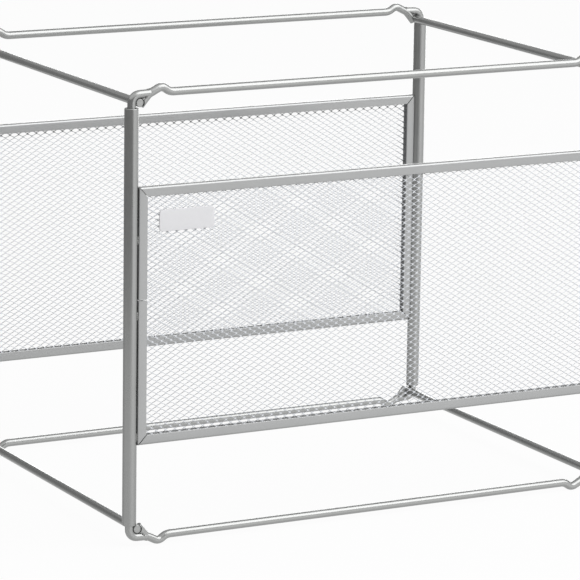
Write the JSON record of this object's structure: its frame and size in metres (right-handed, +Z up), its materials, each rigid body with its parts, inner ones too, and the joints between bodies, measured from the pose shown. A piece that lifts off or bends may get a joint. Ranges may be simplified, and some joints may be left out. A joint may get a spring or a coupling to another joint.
{
  "type": "desktop hanging file organizer",
  "caption": "Knock-down desktop stand for hanging files: bent silver wire top and bottom frames plugged into tube posts, with expanded metal mesh end panels.",
  "frame": {"origin": "middle of the footprint, on the surface that the four feet stand on", "axes": "+X to the right along the front panel, front (label plate) faces -Y, +Z up"},
  "size_m": [0.3364, 0.245, 0.2774],
  "materials": {
    "frame_wire": "satin silver paint on bent steel wire",
    "post": "satin silver paint on steel tube",
    "rim": "satin silver paint on folded sheet",
    "mesh": "silver paint on expanded sheet",
    "label_plate": "white, bare, slightly glossy"
  },
  "bodies": {
    "base_frame": {"base_front_crossbar": "frame_wire", "base_rear_crossbar": "frame_wire", "base_leg_front_left": "frame_wire", "base_leg_front_right": "frame_wire", "base_leg_rear_left": "frame_wire", "base_leg_rear_right": "frame_wire", "base_left_wire": "frame_wire", "base_right_wire": "frame_wire"},
    "front_panel": {"front_left_post": "post", "front_right_post": "post", "front_panel_rim": "rim", "front_mesh": "mesh", "front_panel_weld_beads": "rim", "label_plate": "label_plate"},
    "rear_panel": {"rear_left_post": "post", "rear_right_post": "post", "rear_panel_rim": "rim", "rear_mesh": "mesh", "rear_panel_weld_beads": "rim"},
    "top_frame": {"top_front_crossbar": "frame_wire", "top_rear_crossbar": "frame_wire", "top_leg_front_left": "frame_wire", "top_leg_front_right": "frame_wire", "top_leg_rear_left": "frame_wire", "top_leg_rear_right": "frame_wire", "left_rail": "frame_wire", "right_rail": "frame_wire"}
  },
  "joints": [
    {"name": "front_panel_lift", "type": "slide", "parent": "base_frame", "child": "front_panel", "axis": [0, 0, 1], "range_m": [0, 0.045]},
    {"name": "rear_panel_lift", "type": "slide", "parent": "base_frame", "child": "rear_panel", "axis": [0, 0, 1], "range_m": [0, 0.045]},
    {"name": "top_frame_lift", "type": "slide", "parent": "front_panel", "child": "top_frame", "axis": [0, 0, 1], "range_m": [0, 0.045]}
  ],
  "couplings": [
    {"joint": "rear_panel_lift", "follows": "front_panel_lift", "ratio": 1}
  ]
}
